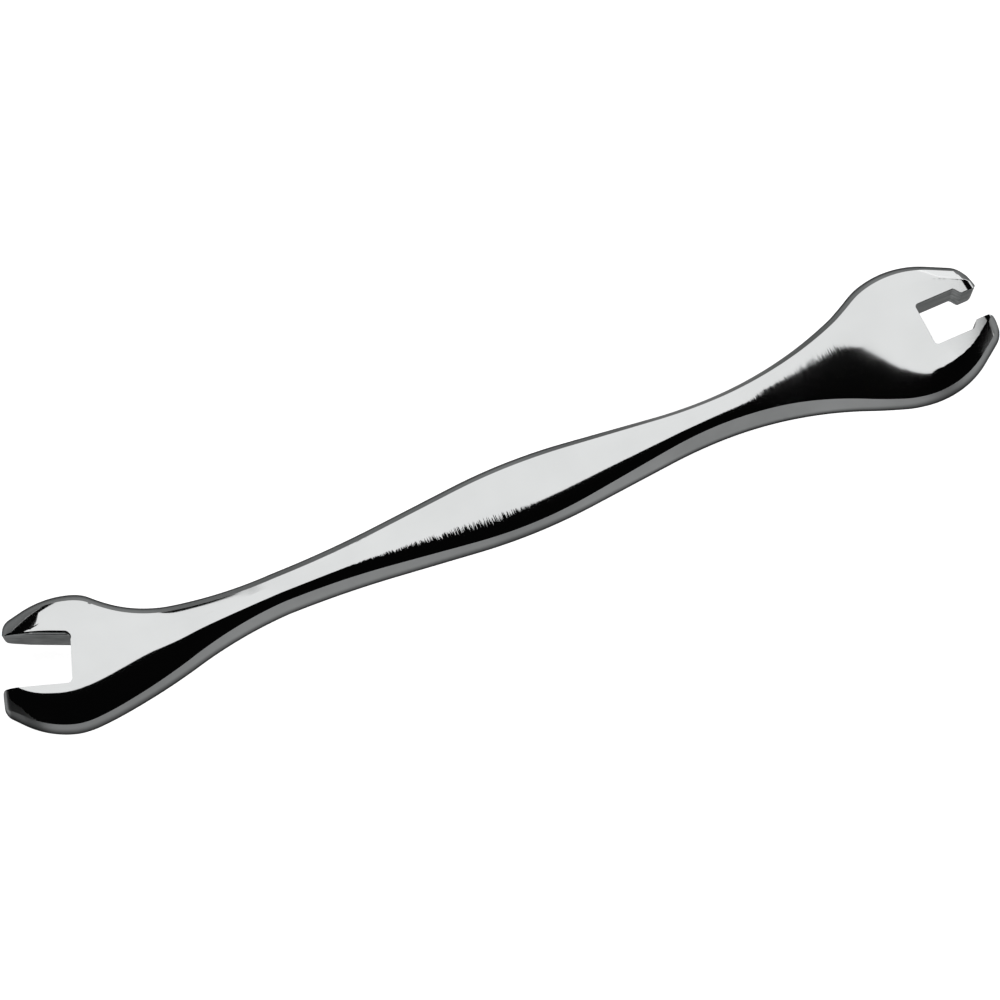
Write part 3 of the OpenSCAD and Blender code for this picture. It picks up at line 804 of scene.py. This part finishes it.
def cloud_and_shade_group():
    """Node group with a soft cloudy tint between two limits, and painted shade that darkens it towards the
    parting line.
    """
    tree = bpy.data.node_groups.new("clouds_and_parting_shade", "ShaderNodeTree")
    tree.interface.new_socket("Scale", in_out="INPUT", socket_type="NodeSocketVector")
    tree.interface.new_socket("Low", in_out="INPUT", socket_type="NodeSocketColor")
    tree.interface.new_socket("High", in_out="INPUT", socket_type="NodeSocketColor")
    tree.interface.new_socket("Line", in_out="INPUT", socket_type="NodeSocketFloat")
    tree.interface.new_socket("Color", in_out="OUTPUT", socket_type="NodeSocketColor")
    given = add_node(tree, "NodeGroupInput")
    result = add_node(tree, "NodeGroupOutput")
    where = add_node(tree, "ShaderNodeTexCoord")
    mapping = add_node(tree, "ShaderNodeMapping")
    noise = add_node(tree, "ShaderNodeTexNoise")
    noise.inputs["Scale"].default_value = 1.0
    noise.inputs["Detail"].default_value = 3.0
    spread = add_node(tree, "ShaderNodeMapRange")
    spread.inputs["From Min"].default_value = 0.3
    spread.inputs["From Max"].default_value = 0.7
    mix = add_node(tree, "ShaderNodeMix", data_type="RGBA")
    tree.links.new(where.outputs["Object"], mapping.inputs["Vector"])
    tree.links.new(given.outputs["Scale"], mapping.inputs["Scale"])
    tree.links.new(mapping.outputs["Vector"], noise.inputs["Vector"])
    tree.links.new(noise.outputs["Fac"], spread.inputs["Value"])
    tree.links.new(spread.outputs["Result"], mix.inputs["Factor"])
    tree.links.new(given.outputs["Low"], mix.inputs["A"])
    tree.links.new(given.outputs["High"], mix.inputs["B"])
    # Painted shade: the colour is scaled down towards the parting plane, to the share given at the line.
    split = add_node(tree, "ShaderNodeSeparateXYZ")
    height = add_node(tree, "ShaderNodeMath", operation="SUBTRACT")
    height.inputs[1].default_value = MIDDLE
    away = add_node(tree, "ShaderNodeMath", operation="ABSOLUTE")
    fade = add_node(tree, "ShaderNodeMapRange", interpolation_type="SMOOTHSTEP")
    fade.inputs["From Min"].default_value = PARTING_SHADE_NEAR
    fade.inputs["From Max"].default_value = PARTING_SHADE_FAR
    shade = add_node(tree, "ShaderNodeVectorMath", operation="SCALE")
    tree.links.new(where.outputs["Object"], split.inputs[0])
    tree.links.new(split.outputs["Z"], height.inputs[0])
    tree.links.new(height.outputs[0], away.inputs[0])
    tree.links.new(away.outputs[0], fade.inputs["Value"])
    tree.links.new(given.outputs["Line"], fade.inputs["To Min"])
    tree.links.new(mix.outputs["Result"], shade.inputs[0])
    tree.links.new(fade.outputs["Result"], shade.inputs["Scale"])
    tree.links.new(shade.outputs[0], result.inputs["Color"])


def metal(name, finish, kind, scale):
    """Metal with a cloudy tint, painted shade at the parting line, and polishing streaks, as its kind is
    set.
    """
    rim = getattr(finish, kind + "_rim")
    material = bpy.data.materials.new(name)
    material.use_nodes = True
    tree = material.node_tree
    shader = tree.nodes["Principled BSDF"]
    shader.inputs["Metallic"].default_value = 1.0
    shader.inputs["Roughness"].default_value = getattr(finish, kind + "_rough")
    shader.inputs["Specular Tint"].default_value = (rim, rim, rim, 1.0)
    tint_shade = add_node(tree, "ShaderNodeGroup", node_tree=bpy.data.node_groups["clouds_and_parting_shade"])
    tint_shade.inputs["Scale"].default_value = scale
    tint_shade.inputs["Low"].default_value = (*getattr(finish, kind + "_dark"), 1.0)
    tint_shade.inputs["High"].default_value = (*getattr(finish, kind + "_pale"), 1.0)
    tint_shade.inputs["Line"].default_value = getattr(finish, kind + "_line")
    streaks = add_node(tree, "ShaderNodeGroup", node_tree=bpy.data.node_groups["polish_streaks"])
    streaks.inputs["Tilt"].default_value = getattr(finish, kind + "_tilt")
    tree.links.new(tint_shade.outputs["Color"], shader.inputs["Base Color"])
    tree.links.new(streaks.outputs["Normal"], shader.inputs["Normal"])
    return material


class WRENCH_OT_forging(bpy.types.Operator):
    """Build the polished forging with both jaws"""

    bl_idname = "wrench.forging"
    bl_label = "Forging"

    def execute(self, context):
        settings = context.scene.spoke_wrench
        mesh = forging_mesh(settings)
        streak_group()
        cloud_and_shade_group()
        mesh.materials.append(metal("polished_chrome", settings.finish, "chrome", CLOUD_SCALE))
        # The band metal's dark tint is painted shade for the shadowed floor that steep sides reflect.
        mesh.materials.append(metal("satin_band_painted_shade", settings.finish, "band", CLOUD_SCALE))
        # The jaw walls' dark tint is painted shade for the shadowed floor they reflect.
        mesh.materials.append(metal("milled_jaw_painted_shade", settings.finish, "jaw", MILLING_SCALE))
        piece = bpy.data.objects.new(PIECE_NAME, mesh)
        context.scene.collection.objects.link(piece)
        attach(piece, "root")
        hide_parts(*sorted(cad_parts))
        return {"FINISHED"}


class WRENCH_OT_studio(bpy.types.Operator):
    """Build the floor, the lamps, the surroundings and the camera"""

    bl_idname = "wrench.studio"
    bl_label = "Studio"

    def execute(self, context):
        studio = context.scene.spoke_wrench.studio
        self.floor(context, studio)
        self.panels(context, studio)
        self.surroundings(context, studio)
        self.camera(context, studio)
        context.scene.view_settings.view_transform = "Standard"
        return {"FINISHED"}

    def floor(self, context, studio):
        """Pale floor that looks white and keeps the shadow."""
        bm = bmesh.new()
        bmesh.ops.create_grid(bm, x_segments=1, y_segments=1, size=FLOOR_HALF)
        mesh = bpy.data.meshes.new("studio_floor")
        bm.to_mesh(mesh)
        bm.free()
        material = bpy.data.materials.new("pale_floor")
        material.use_nodes = True
        tree = material.node_tree
        shader = tree.nodes["Principled BSDF"]
        shader.inputs["Base Color"].default_value = (*studio.floor_tint, 1.0)
        shader.inputs["Roughness"].default_value = studio.floor_rough
        shader.inputs["Emission Color"].default_value = (1.0, 1.0, 1.0, 1.0)
        path = add_node(tree, "ShaderNodeLightPath")
        first = add_node(tree, "ShaderNodeMath", operation="ADD")
        second = add_node(tree, "ShaderNodeMath", operation="ADD")
        third = add_node(tree, "ShaderNodeMath", operation="MULTIPLY")
        third.inputs[1].default_value = FLOOR_GLOW
        tree.links.new(path.outputs["Is Camera Ray"], first.inputs[0])
        tree.links.new(path.outputs["Is Glossy Ray"], first.inputs[1])
        tree.links.new(first.outputs[0], second.inputs[0])
        tree.links.new(path.outputs["Is Transmission Ray"], second.inputs[1])
        tree.links.new(second.outputs[0], third.inputs[0])
        tree.links.new(third.outputs[0], shader.inputs["Emission Strength"])
        mesh.materials.append(material)
        floor = bpy.data.objects.new("studio_floor", mesh)
        context.scene.collection.objects.link(floor)

    def panel(self, context, name, radiance, place, wide, tall):
        """Rectangular lamp of an even radiance."""
        lamp = bpy.data.lights.new(name, "AREA")
        lamp.shape = "RECTANGLE"
        lamp.size = wide
        lamp.size_y = tall
        lamp.energy = radiance * math.pi * wide * tall
        panel = bpy.data.objects.new(name, lamp)
        panel.matrix_world = place
        context.scene.collection.objects.link(panel)

    def panels(self, context, studio):
        """Panels overhead and behind, and low cards in front and at the right, turned with the camera."""
        turn = Matrix.Rotation(studio.azimuth, 4, "Z")
        upright = Matrix.Rotation(math.radians(-90), 4, "X")
        facing = Matrix.Rotation(math.radians(90), 4, "X")
        aside = Matrix.Rotation(math.radians(90), 4, "Z") @ facing
        back = studio.panel_back
        lying = (
            ("overhead_panel", studio.panel_left, studio.panel_right, studio.panel_front),
            ("overhead_wing", studio.panel_right, studio.wing_right, studio.wing_front),
        )
        for name, left, right, front in lying:
            place = Matrix.Translation(((right + left) / 2, (front + back) / 2, studio.panel_height))
            self.panel(context, name, studio.panel_light, turn @ place, right - left, back - front)
        behind = (
            ("back_panel", studio.wall_left, studio.wall_low, studio.panel_height),
            ("back_foot", studio.foot_left, 0.0, studio.wall_low),
        )
        right = studio.wall_right
        for name, left, low, high in behind:
            place = Matrix.Translation(((right + left) / 2, back, (low + high) / 2))
            self.panel(context, name, studio.panel_light, turn @ place @ upright, right - left, high - low)
        left, right, front = studio.card_left, studio.card_right, -studio.card_front
        place = Matrix.Translation(((right + left) / 2, front, studio.card_high / 2))
        place = turn @ place @ facing
        self.panel(context, "front_card", studio.card_light, place, right - left, studio.card_high)
        back = studio.card_back
        place = Matrix.Translation((right, (front + back) / 2, studio.side_high / 2))
        place = turn @ place @ aside
        self.panel(context, "right_card", studio.card_light, place, back - front, studio.side_high)

    def surroundings(self, context, studio):
        """Dark surroundings with a pale horizon."""
        world = bpy.data.worlds.new("studio_surroundings")
        world.use_nodes = True
        tree = world.node_tree
        background = tree.nodes["Background"]
        where = add_node(tree, "ShaderNodeTexCoord")
        split = add_node(tree, "ShaderNodeSeparateXYZ")
        glow = add_node(tree, "ShaderNodeValToRGB")
        horizon, above = glow.color_ramp.elements
        horizon.position = 0.0
        horizon.color = (*studio.horizon_tint, 1.0)
        above.position = studio.horizon_high
        above.color = (*studio.dark_tint, 1.0)
        tree.links.new(where.outputs["Generated"], split.inputs[0])
        tree.links.new(split.outputs["Z"], glow.inputs[0])
        tree.links.new(glow.outputs[0], background.inputs["Color"])
        context.scene.world = world

    def camera(self, context, studio):
        """Camera that looks down at the grip."""
        lens = bpy.data.cameras.new("camera")
        lens.lens = studio.lens
        lens.sensor_width = SENSOR_WIDTH
        camera = bpy.data.objects.new("camera", lens)
        flat = math.cos(studio.elevation)
        back = Vector(
            (
                math.sin(studio.azimuth) * flat,
                -math.cos(studio.azimuth) * flat,
                math.sin(studio.elevation),
            )
        )
        aim = (GRIP_LOW + GRIP_HIGH) / 2 + Vector((studio.aim_x, studio.aim_y, 0.0))
        camera.location = aim + back * studio.distance
        camera.rotation_euler = back.to_track_quat("Z", "Y").to_euler()
        context.scene.collection.objects.link(camera)
        context.scene.camera = camera


class WRENCH_PT_sidebar(bpy.types.Panel):
    """Sidebar panel that lists the build steps"""

    bl_label = "Spoke Wrench"
    bl_idname = "WRENCH_PT_sidebar"
    bl_space_type = "VIEW_3D"
    bl_region_type = "UI"
    bl_category = "Spoke Wrench"

    def draw(self, context):
        self.layout.operator(WRENCH_OT_forging.bl_idname)
        self.layout.operator(WRENCH_OT_studio.bl_idname)


CLASSES = (
    BarSizes,
    OpenEnd,
    CaptiveEnd,
    StudioSettings,
    FinishSettings,
    WrenchSettings,
    WRENCH_OT_forging,
    WRENCH_OT_studio,
    WRENCH_PT_sidebar,
)


def register():
    for cls in CLASSES:
        bpy.utils.register_class(cls)
    bpy.types.Scene.spoke_wrench = PointerProperty(type=WrenchSettings)


def unregister():
    del bpy.types.Scene.spoke_wrench
    for cls in reversed(CLASSES):
        bpy.utils.unregister_class(cls)


def main():
    register()
    bpy.ops.wrench.forging()
    bpy.ops.wrench.studio()


if __name__ == "__main__":
    main()
